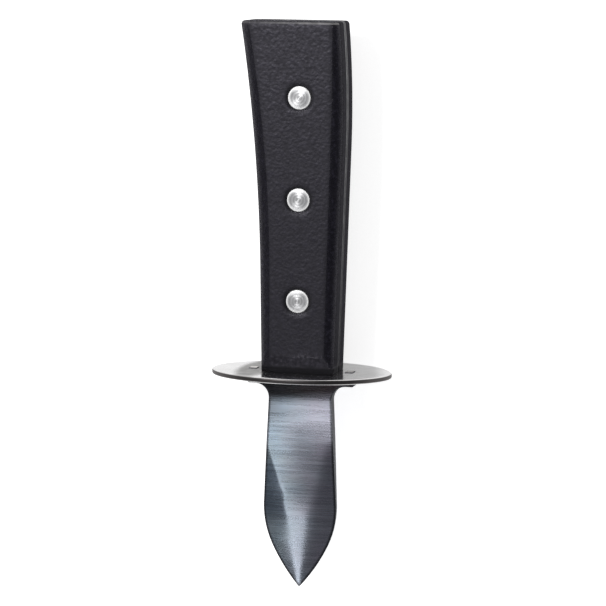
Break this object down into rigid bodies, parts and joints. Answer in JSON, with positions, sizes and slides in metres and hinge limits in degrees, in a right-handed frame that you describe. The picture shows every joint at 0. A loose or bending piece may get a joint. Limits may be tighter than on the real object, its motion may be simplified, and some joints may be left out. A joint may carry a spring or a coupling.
{
  "type": "oyster knife",
  "caption": "Oyster knife with a short spear-point blade, an oval guard in front of the fingers and a riveted black handle that flares at the butt.",
  "frame": {"origin": "on the centre line of the blade, at the face of the guard that the blade leaves from", "axes": "+X along the blade to its tip, +Y across the blade to the straighter, palm side of the handle, +Z out of the front scale, through the blade's flat"},
  "size_m": [0.1587, 0.051, 0.036],
  "materials": {
    "blade_steel": "stainless steel, brushed across the blade",
    "guard_steel": "stainless steel, polished",
    "rivet_steel": "stainless steel, fine turned faces",
    "handle_plastic": "black, satin, with a fine grain"
  },
  "bodies": {
    "root": {"blade": "blade_steel", "guard": "guard_steel", "front_scale": "handle_plastic", "back_scale": "handle_plastic", "rivet_socket_guard": "rivet_steel", "rivet_socket_middle": "rivet_steel", "rivet_socket_butt": "rivet_steel", "rivet_pin_guard": "rivet_steel", "rivet_pin_middle": "rivet_steel", "rivet_pin_butt": "rivet_steel"}
  },
  "joints": []
}
